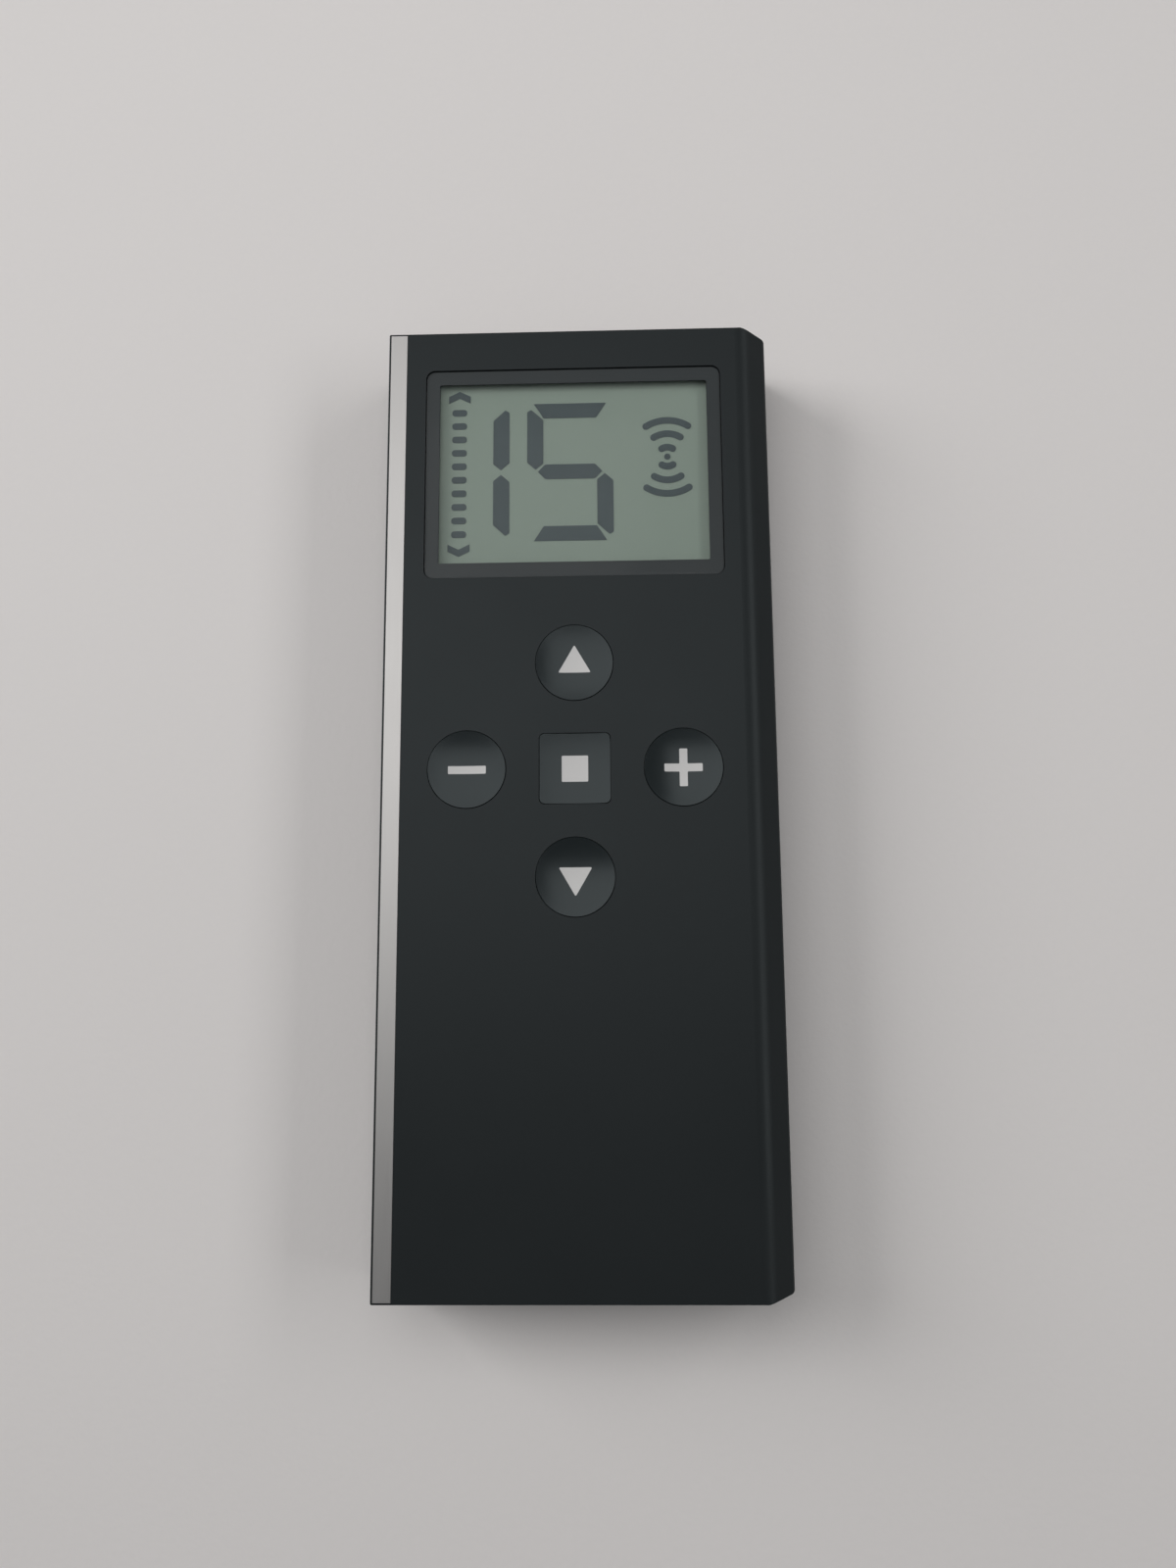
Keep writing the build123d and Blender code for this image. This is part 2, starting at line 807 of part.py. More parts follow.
with BuildPart() as rear_cover:
    add(outer_form)
    slab(all_over, parting, thickness, Mode.SUBTRACT)
    add(inner_form, mode=Mode.SUBTRACT)
    slab(case_plan(wall - lip_thick), parting - wall, parting + lip_height)
    slab(case_plan(wall), parting - wall, parting + lip_height, Mode.SUBTRACT)
    # a fine groove round the joint
    slab(all_over, parting - shadow_groove, parting, Mode.SUBTRACT)
    slab(case_plan(shadow_groove), parting - shadow_groove, parting)
    slab(case_plan(wall), parting - shadow_groove, parting, Mode.SUBTRACT)
    # screw posts
    slab(circle_plan(post_base_radius, *case_screw_places), wall, post_base_top)
    slab(circle_plan(boss_radius, *case_screw_places), wall, board_bottom)
    slab(circle_plan(screw_radius + screw_play, *case_screw_places), 0, board_bottom, Mode.SUBTRACT)
    slab(circle_plan(head_well_radius, *case_screw_places), 0, head_well_top, Mode.SUBTRACT)
    # battery bay, with the deck over the door and the wall round the cell
    deck_size = (2 * (groove_half + deck_margin), bay_length + deck_margin - wall)
    deck_y = bay_y + (deck_margin + wall) / 2
    slab(rectangle_plan(deck_size, (0, deck_y)), deck_low, deck_top)
    holder_radius = cell_radius + holder_play
    slab(circle_plan(holder_radius + holder_thick, cell_place), deck_low, holder_top)
    slab(circle_plan(holder_radius, cell_place), 0, holder_top, Mode.SUBTRACT)
    notch_x = cell_radius + contact_width / 2
    notch = rectangle_plan((contact_width, contact_width + 1), (notch_x, cell_y))
    slab(notch, deck_top, holder_top, Mode.SUBTRACT)
    slab(circle_plan(pair_hole_radius, pair_place), deck_low, deck_top, Mode.SUBTRACT)
    slab(bay_plan(door_half + door_play), 0, deck_low, Mode.SUBTRACT)
    slab(bay_plan(groove_half), groove_low, deck_low, Mode.SUBTRACT)
    # label recess
    label_well = [size + 2 * label_gap for size in label_size]
    well_plan = rectangle_plan(label_well, (0, label_y), label_corner)
    slab(well_plan, 0, label_sunk + label_thick, Mode.SUBTRACT)
save(rear_cover, "rear_cover")

with BuildPart() as rating_label:
    label_plan = rectangle_plan(label_size, (0, label_y), label_corner)
    slab(label_plan, label_sunk, label_sunk + label_thick)
save(rating_label, "rating_label")

with BuildPart() as battery_door:
    door_y = (door_end - half_length) / 2
    door_length = door_end + half_length
    slab(rectangle_plan((2 * door_half, door_length), (0, door_y)), door_low, door_high)
    tongue_size = (2 * (door_half + tongue), door_length)
    slab(rectangle_plan(tongue_size, (0, door_y)), tongue_low, door_high)
    add(outer_form, mode=Mode.INTERSECT)
    with BuildSketch(Plane.XY.offset(door_low)):
        with Locations((0, grip_y)):
            with GridLocations(0, grip_pitch, 1, grip_ribs):
                SlotOverall(*grip_groove)
    extrude(amount=grip_deep, mode=Mode.SUBTRACT)
save(battery_door, "battery_door")

# ---------------------------------------------------------------- screws
with BuildPart() as case_screws:
    slab(circle_plan(screw_radius, *case_screw_places), head_well_top, screw_top)
    slab(
        circle_plan(screw_head_radius, *case_screw_places),
        head_well_top - screw_head_thick,
        head_well_top,
    )
    fillet(case_screws.edges().group_by(Axis.Z)[0], 0.3)
    with BuildSketch(Plane.XY.offset(head_well_top - screw_head_thick)):
        with Locations(*case_screw_places):
            Rectangle(slot_length, slot_width)
            Rectangle(slot_width, slot_length)
    extrude(amount=slot_deep, mode=Mode.SUBTRACT)
save(case_screws, "case_screws")

with BuildPart() as board_screws:
    slab(circle_plan(screw_radius, *board_screw_places), board_bottom, screw_top)
    slab(
        circle_plan(screw_head_radius, *board_screw_places),
        board_bottom - screw_head_thick,
        board_bottom,
    )
    fillet(board_screws.edges().group_by(Axis.Z)[0], 0.3)
    with BuildSketch(Plane.XY.offset(board_bottom - screw_head_thick)):
        with Locations(*board_screw_places):
            Rectangle(slot_length, slot_width)
            Rectangle(slot_width, slot_length)
    extrude(amount=slot_deep, mode=Mode.SUBTRACT)
save(board_screws, "board_screws")
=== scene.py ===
"""Looks of a handheld radio remote control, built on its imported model.

The remote lies on its back: X runs across it, Y along it towards the display, Z out of the face.
Sizes are in millimetres times MM. The sections follow the remote as it is put together, from the
board and the cell outwards to the case, the keys and the display window.
"""

import math

import bpy
from mathutils import Matrix, Vector


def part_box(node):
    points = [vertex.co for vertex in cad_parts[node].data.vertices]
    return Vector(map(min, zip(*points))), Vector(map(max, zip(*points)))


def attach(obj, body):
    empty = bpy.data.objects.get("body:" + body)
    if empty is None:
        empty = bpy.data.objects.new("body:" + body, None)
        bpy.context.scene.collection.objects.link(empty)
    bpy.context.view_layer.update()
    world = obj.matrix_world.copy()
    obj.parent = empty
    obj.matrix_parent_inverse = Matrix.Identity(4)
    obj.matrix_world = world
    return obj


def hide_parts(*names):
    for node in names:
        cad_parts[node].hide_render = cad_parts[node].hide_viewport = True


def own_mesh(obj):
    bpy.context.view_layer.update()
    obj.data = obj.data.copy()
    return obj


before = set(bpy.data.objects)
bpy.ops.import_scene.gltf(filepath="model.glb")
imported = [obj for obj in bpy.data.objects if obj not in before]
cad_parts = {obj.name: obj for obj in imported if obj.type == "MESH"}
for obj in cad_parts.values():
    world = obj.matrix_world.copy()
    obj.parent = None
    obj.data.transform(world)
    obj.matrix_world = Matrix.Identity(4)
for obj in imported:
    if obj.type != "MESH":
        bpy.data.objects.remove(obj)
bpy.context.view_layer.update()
MM = 0.001

# ------------------------------------------------------------------ table, lights and camera
# A pale paper-covered table, a hair below the remote's back. A wide soft light hangs over the
# display end, a larger one stands at the upper left, and a narrow one at the right picks out the
# rounded crest of the case.
paper_light = (0.78, 0.748, 0.733, 1)
paper_dark = (0.74, 0.708, 0.693, 1)
table_size, table_drop = 3.0, 0.02 * MM
camera_place = (5.04 * MM, -22.97 * MM, 158.98 * MM)
camera_right = Vector((0.99957, -0.00734, -0.02852))
camera_up = Vector((0.01172, 0.98756, 0.15680))


def new_material(name):
    """A material with its own Principled shader. Returns it with its nodes, links and shader."""
    material = bpy.data.materials.new(name)
    material.use_nodes = True
    nodes = material.node_tree.nodes
    return material, nodes, material.node_tree.links, nodes["Principled BSDF"]


def new_group(name, sizes):
    """An empty shader node group that takes the named sizes in metres."""
    group = bpy.data.node_groups.new(name, "ShaderNodeTree")
    for size in sizes:
        group.interface.new_socket(name=size, in_out="INPUT", socket_type="NodeSocketVector")
    return group, group.nodes.new("NodeGroupInput"), group.nodes.new("NodeGroupOutput")


def grain_group():
    """Irregular grain of a given size along each axis, and broad soft smudges."""
    group, inputs, outputs = new_group("grain", ("Grain Size", "Smudge Size"))
    place = group.nodes.new("ShaderNodeTexCoord")
    for size, result, detail in (("Grain Size", "Grain", 3.0), ("Smudge Size", "Smudge", 4.0)):
        group.interface.new_socket(name=result, in_out="OUTPUT", socket_type="NodeSocketFloat")
        spread = group.nodes.new("ShaderNodeVectorMath")
        spread.operation = "DIVIDE"
        noise = group.nodes.new("ShaderNodeTexNoise")
        noise.inputs["Scale"].default_value = 1.0
        noise.inputs["Detail"].default_value = detail
        group.links.new(place.outputs["Object"], spread.inputs[0])
        group.links.new(inputs.outputs[size], spread.inputs[1])
        group.links.new(spread.outputs[0], noise.inputs["Vector"])
        group.links.new(noise.outputs["Fac"], outputs.inputs[result])
    return group


grain_nodes = grain_group()


def grained(
    name, light, dark, rough, grain, relief, smudge=12, metal=0.0, specular=0.5, sheen=None
):
    """A surface of two close tones with uneven gloss and a fine relief.

    rough is the lowest and highest roughness. grain is the relief's size in mm along x, y and z,
    relief its height in mm, and smudge the size of the broad uneven patches. sheen tints the gloss.
    """
    material, nodes, links, shader = new_material(name)
    pattern = nodes.new("ShaderNodeGroup")
    pattern.node_tree = grain_nodes
    pattern.inputs["Grain Size"].default_value = [size * MM for size in grain]
    pattern.inputs["Smudge Size"].default_value = [smudge * MM] * 3
    even = nodes.new("ShaderNodeMath")
    even.operation = "MULTIPLY_ADD"
    even.inputs[1].default_value = 0.5
    half = nodes.new("ShaderNodeMath")
    half.operation = "MULTIPLY"
    half.inputs[1].default_value = 0.5
    tone = nodes.new("ShaderNodeMix")
    tone.data_type = "RGBA"
    tone.inputs[6].default_value = dark
    tone.inputs[7].default_value = light
    gloss = nodes.new("ShaderNodeMapRange")
    gloss.inputs["From Min"].default_value = 0.35
    gloss.inputs["From Max"].default_value = 0.65
    gloss.inputs["To Min"].default_value = rough[0]
    gloss.inputs["To Max"].default_value = rough[1]
    bump = nodes.new("ShaderNodeBump")
    bump.inputs["Distance"].default_value = relief * MM
    links.new(pattern.outputs["Grain"], half.inputs[0])
    links.new(pattern.outputs["Smudge"], even.inputs[0])
    links.new(half.outputs[0], even.inputs[2])
    links.new(even.outputs[0], tone.inputs[0])
    links.new(even.outputs[0], gloss.inputs["Value"])
    links.new(pattern.outputs["Grain"], bump.inputs["Height"])
    links.new(tone.outputs[2], shader.inputs["Base Color"])
    links.new(gloss.outputs[0], shader.inputs["Roughness"])
    links.new(bump.outputs[0], shader.inputs["Normal"])
    shader.inputs["Metallic"].default_value = metal
    shader.inputs["Specular IOR Level"].default_value = specular
    if sheen:
        shader.inputs["Specular Tint"].default_value = sheen
    return material


bpy.ops.object.select_all(action="DESELECT")
bpy.ops.mesh.primitive_plane_add(size=table_size, location=(0, 0, -table_drop))
table = bpy.context.object
table.name = "table"
table.data.materials.append(
    grained("table_paper", paper_light, paper_dark, (0.75, 0.9), (0.9, 0.9, 0.9), 0.03, 90)
)

bpy.ops.object.camera_add()
camera = bpy.context.object
camera.matrix_world = Matrix.Translation(camera_place) @ Matrix(
    (camera_right, camera_up, camera_right.cross(camera_up))
).transposed().to_4x4()
camera.data.sensor_width = 36
camera.data.lens = 27
camera.data.clip_start = 5 * MM
camera.data.clip_end = 10
bpy.context.scene.camera = camera


def soft_light(name, place, aim, size, power):
    """A rectangular soft light at place, turned towards aim. In metres and watts."""
    bpy.ops.object.light_add(type="AREA", location=place)
    light = bpy.context.object
    light.name = name
    light.rotation_euler = (Vector(aim) - Vector(place)).to_track_quat("-Z", "Y").to_euler()
    light.data.shape = "RECTANGLE"
    light.data.size, light.data.size_y = size
    light.data.energy = power
    light.visible_camera = False


soft_light(
    "overhead_light",
    place=(-0.091, 0.147, 0.40),
    aim=(-0.091, 0.147, 0),
    size=(0.382, 0.337),
    power=0.575,
)
soft_light("side_light", place=(-1.10, 0.45, 0.66), aim=(0, 0, 0), size=(0.7, 0.7), power=9.2)
soft_light("crest_light", place=(0.50, 0.14, 0.42), aim=(0, 0.14, 0), size=(0.7, 0.16), power=1.1)
room = bpy.data.worlds.new("room")
room.use_nodes = True
room.node_tree.nodes["Background"].inputs["Color"].default_value = (0.95, 0.98, 1.0, 1)
room.node_tree.nodes["Background"].inputs["Strength"].default_value = 0.15
bpy.context.scene.world = room
bpy.context.scene.view_settings.view_transform = "Standard"

# ------------------------------------------------------------------ circuit board
# A glass-epoxy board with a dark green solder mask on both faces. Copper tracks show through
# the mask as lighter lines, and the sawn edge shows the bare laminate.
mask_green = (0.010, 0.060, 0.030, 1)
track_green = (0.028, 0.125, 0.060, 1)
laminate_tan = (0.42, 0.36, 0.20, 1)
track_fields = ((7.0, 1.3, 0), (5.0, 1.9, 90))  # run length, pitch, and turn in degrees


def paint(material, *names):
    """Gives CAD nodes a finish."""
    for name in names:
        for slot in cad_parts[name].material_slots:
            slot.material = material


board_mask = grained("board_mask", mask_green, mask_green, (0.28, 0.4), (0.5, 0.5, 0.5), 0.004, 15)
nodes = board_mask.node_tree.nodes
links = board_mask.node_tree.links
place = nodes.new("ShaderNodeTexCoord")
tracks = None
for run, pitch, turn in track_fields:
    turned_place = nodes.new("ShaderNodeMapping")
    turned_place.inputs["Rotation"].default_value = (0, 0, math.radians(turn))
    field = nodes.new("ShaderNodeTexBrick")
    field.inputs["Scale"].default_value = 1 / MM
    field.inputs["Brick Width"].default_value = run
    field.inputs["Row Height"].default_value = pitch
    field.inputs["Mortar Size"].default_value = 0.13
    field.inputs["Mortar Smooth"].default_value = 0.2
    links.new(place.outputs["Object"], turned_place.inputs["Vector"])
    links.new(turned_place.outputs[0], field.inputs["Vector"])
    if tracks:
        both = nodes.new("ShaderNodeMath")
        both.operation = "MAXIMUM"
        links.new(tracks.outputs["Fac"], both.inputs[0])
        links.new(field.outputs["Fac"], both.inputs[1])
        tracks = both
    else:
        tracks = field
over_tracks = nodes.new("ShaderNodeMix")
over_tracks.data_type = "RGBA"
over_tracks.inputs[6].default_value = mask_green
over_tracks.inputs[7].default_value = track_green
at_edge = nodes.new("ShaderNodeMix")
at_edge.data_type = "RGBA"
at_edge.inputs[6].default_value = laminate_tan
facing = nodes.new("ShaderNodeSeparateXYZ")
level = nodes.new("ShaderNodeMath")
level.operation = "ABSOLUTE"
links.new(tracks.outputs[0], over_tracks.inputs[0])
links.new(place.outputs["Normal"], facing.inputs[0])
links.new(facing.outputs["Z"], level.inputs[0])
links.new(level.outputs[0], at_edge.inputs[0])
links.new(over_tracks.outputs[2], at_edge.inputs[7])
links.new(at_edge.outputs[2], nodes["Principled BSDF"].inputs["Base Color"])
paint(board_mask, "circuit_board")

# ------------------------------------------------------------------ parts on the board
# A moulded controller with tinned leads, a radio chip under a folded tinplate shield, a clock
# crystal in a drawn can, and a wire antenna. They are soldered to the underside of the board.
epoxy = grained(
    "chip_epoxy", (0.030, 0.030, 0.031, 1), (0.020, 0.020, 0.021, 1),
    rough=(0.5, 0.7), grain=(0.08, 0.08, 0.08), relief=0.006, smudge=3,
)
tin = grained(
    "tinned_steel", (0.62, 0.61, 0.58, 1), (0.50, 0.49, 0.47, 1),
    rough=(0.25, 0.45), grain=(0.15, 2.0, 0.15), relief=0.004, smudge=4, metal=1.0,
)
enamelled_wire = grained(
    "antenna_wire_finish", (0.62, 0.27, 0.10, 1), (0.50, 0.20, 0.07, 1),
    rough=(0.25, 0.4), grain=(1.5, 0.1, 0.1), relief=0.004, smudge=5, metal=1.0,
)
paint(epoxy, "microcontroller", "radio_chip", "pair_switch")
paint(tin, "controller_leads", "radio_shield", "clock_crystal")
paint(tin, "negative_contact", "positive_contact")
paint(enamelled_wire, "antenna_wire")

# ------------------------------------------------------------------ ceramic chip parts
# Twelve small capacitors and resistors in a grid beside the controller. Each is a block of fired
# ceramic whose two ends are dipped in tin, and its corners are tumbled round.
chip_length, chip_width, chip_height = 1.6, 0.8, 0.6
chip_end = 0.35
chip_step = 3.2
ceramic = grained(
    "chip_ceramic", (0.30, 0.20, 0.12, 1), (0.22, 0.14, 0.08, 1),
    rough=(0.45, 0.6), grain=(0.1, 0.1, 0.1), relief=0.004, smudge=2,
)
chip_low, chip_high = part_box("chip_parts")


def pick(piece):
    """Selects this piece alone."""
    bpy.ops.object.select_all(action="DESELECT")
    piece.select_set(True)
    bpy.context.view_layer.objects.active = piece


def settle(piece, *materials, body="case", slot=None, replaces=()):
    """Puts a finished piece's place in its mesh, gives it its finish and fixes it to a CAD body."""
    pick(piece)
    bpy.ops.object.transform_apply(location=True, rotation=True, scale=True)
    piece.data.materials.clear()
    for material in materials:
        piece.data.materials.append(material)
    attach(piece, body)
    if replaces:
        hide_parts(*replaces)
    return piece


def to_edit(piece):
    """Opens a piece for editing with nothing selected in it."""
    pick(piece)
    bpy.ops.object.mode_set(mode="EDIT")
    bpy.ops.mesh.select_all(action="DESELECT")
    bpy.ops.object.mode_set(mode="OBJECT")


def choose_faces(piece, wanted):
    """Selects the faces for which wanted(face) is true, and opens the piece for editing."""
    to_edit(piece)
    for face in piece.data.polygons:
        face.select = wanted(face)
    bpy.ops.object.mode_set(mode="EDIT")


def copies(piece, places):
    """Copies of a piece at the given places, each with its own mesh, joined into one object."""
    made = [piece]
    for place in places[1:]:
        twin = piece.copy()
        twin.data = piece.data.copy()
        twin.location = [size * MM for size in place]
        bpy.context.collection.objects.link(twin)
        made.append(twin)
    piece.location = [size * MM for size in places[0]]
    bpy.ops.object.select_all(action="DESELECT")
    for one in made:
        one.select_set(True)
    bpy.context.view_layer.objects.active = piece
    bpy.ops.object.join()
    return piece


bpy.ops.object.select_all(action="DESELECT")
bpy.ops.mesh.primitive_cube_add(size=1.0)
chip = bpy.context.object
chip.name = "ceramic_chips"
chip.scale = (chip_length * MM, chip_width * MM, chip_height * MM)
bpy.ops.object.transform_apply(location=False, rotation=False, scale=True)
bpy.ops.object.mode_set(mode="EDIT")
end_line = (chip_length / 2 - chip_end) * MM
for side in (-1, 1):
    bpy.ops.mesh.select_all(action="SELECT")
    bpy.ops.mesh.bisect(plane_co=(side * end_line, 0, 0), plane_no=(1, 0, 0))
bpy.ops.mesh.select_all(action="SELECT")
bpy.ops.object.mode_set(mode="OBJECT")
rounding = chip.modifiers.new("tumbled corners", "BEVEL")
rounding.width = 0.06 * MM
rounding.segments = 2
rounding.angle_limit = math.radians(60)
bpy.ops.object.modifier_apply(modifier=rounding.name)
for face in chip.data.polygons:
    if abs(face.center.x) > end_line:
        face.material_index = 1
chip_middle = (chip_low + chip_high) / 2 / MM
chip_places = [
    (chip_middle[0] + column * chip_step, chip_middle[1] + (row - 1.5) * chip_step, chip_middle[2])
    for column in (-1, 0, 1)
    for row in range(4)
]
copies(chip, chip_places)
chip_ends = [face.material_index for face in chip.data.polygons]
settle(chip, ceramic, tin, slot="chip_epoxy", replaces=["chip_parts"])
for face, end in zip(chip.data.polygons, chip_ends):
    face.material_index = end

# ------------------------------------------------------------------ solder
# Small bright mounds of solder where the antenna's two ends and the cell's two contacts go into
# the board. Each flows up the metal and ends in a thin skirt on its pad.
solder_bright = grained(
    "solder", (0.70, 0.70, 0.68, 1), (0.58, 0.58, 0.57, 1),
    rough=(0.18, 0.35), grain=(0.3, 0.3, 0.3), relief=0.006, smudge=2, metal=1.0,
)
mound = ((0.95, 7.5), (0.80, 7.38), (0.64, 7.2), (0.52, 7.0), (0.46, 6.8))  # radius, height
antenna_half, antenna_y = 17.0, 55.0


def turned(name, place, rings, sides=72, tube=False):
    """A turned piece: a disc drawn out from ring to ring, or a circle drawn round into a tube wall.

    place is its centre and rings are (radius, height), in mm.
    """
    bpy.ops.object.select_all(action="DESELECT")
    centre = (place[0] * MM, place[1] * MM, rings[0][1] * MM)
    bpy.ops.mesh.primitive_circle_add(
        vertices=sides,
        radius=rings[0][0] * MM,
        fill_type="NOTHING" if tube else "NGON",
        location=centre,
    )
    piece = bpy.context.object
    piece.name = name
    bpy.ops.object.mode_set(mode="EDIT")
    bpy.ops.mesh.select_all(action="SELECT")
    for (radius, height), (next_radius, next_height) in zip(rings, rings[1:]):
        bpy.ops.mesh.extrude_region_move(
            TRANSFORM_OT_translate={"value": (0, 0, (next_height - height) * MM)}
        )
        growth = next_radius / radius
        bpy.ops.transform.resize(
            value=(growth, growth, 1), center_override=(centre[0], centre[1], next_height * MM)
        )
    if tube:
        bpy.ops.mesh.select_all(action="DESELECT")
        bpy.ops.mesh.select_non_manifold()
        bpy.ops.mesh.bridge_edge_loops()
    bpy.ops.mesh.select_all(action="SELECT")
    bpy.ops.mesh.normals_make_consistent(inside=False)
    bpy.ops.object.mode_set(mode="OBJECT")
    bpy.ops.object.shade_smooth_by_angle(angle=math.radians(35))
    return piece


solder = turned("solder_mounds", (0, 0), mound, 32)
bpy.ops.object.transform_apply(location=True, rotation=False, scale=False)
contact_low, contact_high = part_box("negative_contact")
contact_y = (contact_low.y + contact_high.y) / 2 / MM
solder_places = [(-antenna_half, antenna_y, 0), (antenna_half, antenna_y, 0)]
for contact_x in (contact_low.x / MM + 1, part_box("positive_contact")[1].x / MM - 1):
    solder_places += [(contact_x, contact_y + side, 0) for side in (-1.5, 1.5)]
copies(solder, solder_places)
bpy.ops.object.shade_smooth_by_angle(angle=math.radians(50))
settle(solder, solder_bright, slot="tinned_steel")

# ------------------------------------------------------------------ coin cell
# A pressed stainless can, a smaller cap and a clear grey seal crimped between them. Fine turning
# marks run round both, and the can's flat face is stamped with a plus for its pole.
steel_light, steel_dark = (0.66, 0.66, 0.65, 1), (0.52, 0.52, 0.51, 1)
mark_length, mark_width, mark_deep, mark_corner = 5.0, 1.0, 0.03, 0.3
can_low, can_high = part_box("cell_can")
cell_centre = (can_low + can_high) / 2


def turning_group():
    """Fine rings round an upright axis through the given centre."""
    group, inputs, outputs = new_group("turning_marks", ("Centre",))
    group.interface.new_socket(name="Marks", in_out="OUTPUT", socket_type="NodeSocketFloat")
    place = group.nodes.new("ShaderNodeTexCoord")
    off = group.nodes.new("ShaderNodeVectorMath")
    off.operation = "SUBTRACT"
    flat = group.nodes.new("ShaderNodeVectorMath")
    flat.operation = "MULTIPLY"
    flat.inputs[1].default_value = (1, 1, 0)
    out = group.nodes.new("ShaderNodeVectorMath")
    out.operation = "LENGTH"
    rings = group.nodes.new("ShaderNodeTexNoise")
    rings.noise_dimensions = "1D"
    rings.inputs["Scale"].default_value = 6 / MM
    rings.inputs["Detail"].default_value = 2
    group.links.new(place.outputs["Object"], off.inputs[0])
    group.links.new(inputs.outputs["Centre"], off.inputs[1])
    group.links.new(off.outputs[0], flat.inputs[0])
    group.links.new(flat.outputs[0], out.inputs[0])
    group.links.new(out.outputs["Value"], rings.inputs["W"])
    group.links.new(rings.outputs["Fac"], outputs.inputs["Marks"])
    return group


turning_nodes = turning_group()


def turned_steel(name, light, dark, centre):
    """Pressed and turned steel: grained, with fine rings round its centre."""
    material = grained(name, light, dark, (0.26, 0.40), (0.4, 0.4, 0.4), 0.003, 6, 1.0)
    nodes = material.node_tree.nodes
    marks = nodes.new("ShaderNodeGroup")
    marks.node_tree = turning_nodes
    marks.inputs["Centre"].default_value = centre
    material.node_tree.links.new(marks.outputs["Marks"], nodes["Bump"].inputs["Height"])
    return material


cell_steel = turned_steel("cell_steel", steel_light, steel_dark, cell_centre)
seal_grey = grained(
    "cell_seal", (0.30, 0.31, 0.32, 1), (0.24, 0.25, 0.26, 1),
    rough=(0.35, 0.5), grain=(0.2, 0.2, 0.2), relief=0.003, smudge=4,
)
paint(cell_steel, "cell_can", "cell_cap")
paint(seal_grey, "cell_gasket")


def plate(name, size, place, low, high, corner=0.0):
    """A flat plate with round corners, between two heights. Everything is in mm."""
    bpy.ops.object.select_all(action="DESELECT")
    bpy.ops.mesh.primitive_plane_add(size=1.0, location=(place[0] * MM, place[1] * MM, low * MM))
    piece = bpy.context.object
    piece.name = name
    piece.scale = (size[0] * MM, size[1] * MM, 1)
    bpy.ops.object.transform_apply(location=False, rotation=False, scale=True)
    bpy.ops.object.mode_set(mode="EDIT")
    bpy.ops.mesh.select_all(action="SELECT")
    if corner:
        bpy.ops.mesh.bevel(affect="VERTICES", offset=corner * MM, segments=8)
    bpy.ops.mesh.extrude_region_move(TRANSFORM_OT_translate={"value": (0, 0, (high - low) * MM)})
    bpy.ops.mesh.select_all(action="SELECT")
    bpy.ops.mesh.normals_make_consistent(inside=False)
    bpy.ops.object.mode_set(mode="OBJECT")
    return piece


def join_shape(piece, other, how):
    """Joins another closed form to a piece, or cuts it away, and removes the other form."""
    pick(piece)
    shape = piece.modifiers.new("shape", "BOOLEAN")
    shape.operation = how
    shape.solver = "EXACT"
    shape.object = other
    bpy.ops.object.modifier_apply(modifier=shape.name)
    bpy.data.objects.remove(other, do_unlink=True)


def soften(piece, width, steps=2):
    """Rounds a piece's sharp edges by width, in mm."""
    pick(piece)
    edges = piece.modifiers.new("edges", "BEVEL")
    edges.width = width * MM
    edges.segments = steps
    edges.limit_method = "ANGLE"
    edges.angle_limit = math.radians(40)
    bpy.ops.object.modifier_apply(modifier=edges.name)
    bpy.ops.object.shade_smooth_by_angle(angle=math.radians(35))


cell_place = (cell_centre.x / MM, cell_centre.y / MM)
can_face = can_low.z / MM
mark_span = (can_face - mark_deep, can_face + mark_deep)
cell_mark = plate("cell_mark", (mark_length, mark_width), cell_place, *mark_span, mark_corner)
upright = plate("upright", (mark_width, mark_length), cell_place, *mark_span, mark_corner)
join_shape(cell_mark, upright, "UNION")
soften(cell_mark, 0.015)
mark_steel = grained(
    "stamped_steel", (0.42, 0.42, 0.41, 1), (0.36, 0.36, 0.35, 1),
    rough=(0.4, 0.5), grain=(0.2, 0.2, 0.2), relief=0.003, smudge=4, metal=1.0,
)
settle(cell_mark, mark_steel, slot="cell_steel")

# ------------------------------------------------------------------ keypad mat
# One sheet of moulded silicone with a hollow dome under each key. The web lies on the board round
# the screw bosses.
board_top, key_bottom = 8.5, 10.5
mat_size, mat_thick, mat_corner = (41.0, 38.6), 0.5, 2.0
dome_foot, dome_crown, dome_skin, crown_thick = 4.2, 3.0, 0.8, 0.6
dome_centre = 0.02  # the crown is drawn in to this radius
case_boss_hole, board_boss_hole = 2.7, 2.2
upper_case_bosses = [(-19.6, 22.9), (19.6, 22.9)]
upper_board_bosses = [(-12.0, 23.1), (11.0, 23.1)]
key_names = ("up", "down", "stop", "minus", "plus")
silicone = grained(
    "silicone", (0.085, 0.088, 0.090, 1), (0.070, 0.073, 0.075, 1),
    rough=(0.45, 0.6), grain=(0.25, 0.25, 0.25), relief=0.004, smudge=6, specular=0.35,
)


def middle(node):
    """The x and y of a CAD node's middle, in mm."""
    low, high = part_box(node)
    return (low.x + high.x) / 2 / MM, (low.y + high.y) / 2 / MM


